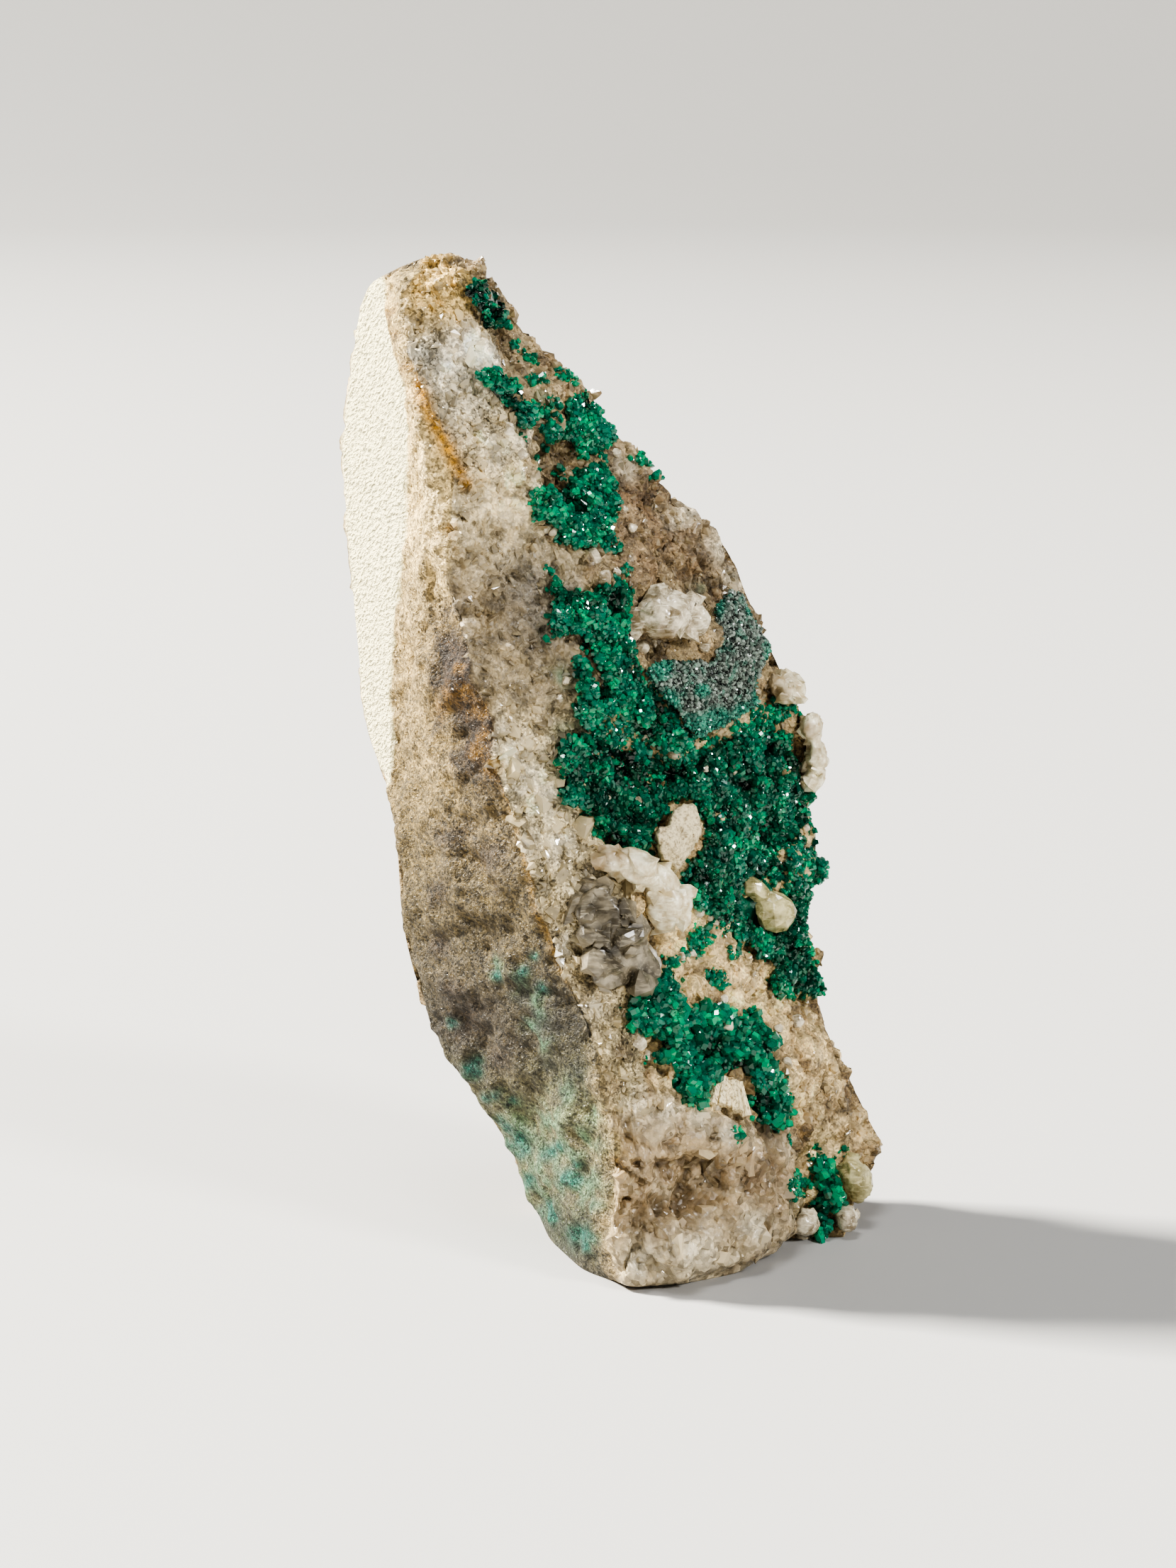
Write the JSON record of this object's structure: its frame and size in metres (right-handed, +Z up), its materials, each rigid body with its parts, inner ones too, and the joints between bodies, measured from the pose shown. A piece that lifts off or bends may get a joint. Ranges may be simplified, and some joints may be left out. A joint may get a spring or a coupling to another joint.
{
  "type": "dioptase specimen",
  "caption": "Standing slab of pale vein rock with emerald-green dioptase crystals in crusts on its front and calcite grains among them.",
  "frame": {"origin": "bottom centre of the bounding box, on the surface that the specimen stands on", "axes": "+Z up along the standing slab, -Y towards the viewer of its front, +X to that viewer's right"},
  "size_m": [0.0513, 0.0316, 0.0921],
  "materials": {
    "rock": "broken vein rock: a fine brown side, a pale flat side, a crystalline band and a granular front",
    "dioptase": "vitreous, translucent emerald green crystals",
    "calcite": "clear to cloudy grey-beige crystal grains",
    "cream": "cream, chalky to cloudy grains",
    "druse": "dark grey sparkling crust of fine quartz crystals"
  },
  "bodies": {
    "root": {"rock": "rock", "calcite_boulder": "calcite", "calcite_cap": "cream", "calcite_oval": "calcite", "calcite_knobs": "cream", "calcite_edge_knobs": "cream", "cream_grain": "cream", "calcite_foot_grain": "calcite", "calcite_corner_grain": "calcite", "calcite_window": "calcite", "pale_blade": "cream", "grey_druse": "druse", "fibre_bundle": "cream", "dioptase_crust_top": "dioptase", "dioptase_crust_upper_left": "dioptase", "dioptase_crust_upper_right": "dioptase", "dioptase_crust_upper_middle": "dioptase", "dioptase_crust_strand": "dioptase", "dioptase_crust_left_strand": "dioptase", "dioptase_crust_main": "dioptase", "dioptase_crust_lower": "dioptase", "dioptase_crust_foot": "dioptase"}
  },
  "joints": []
}
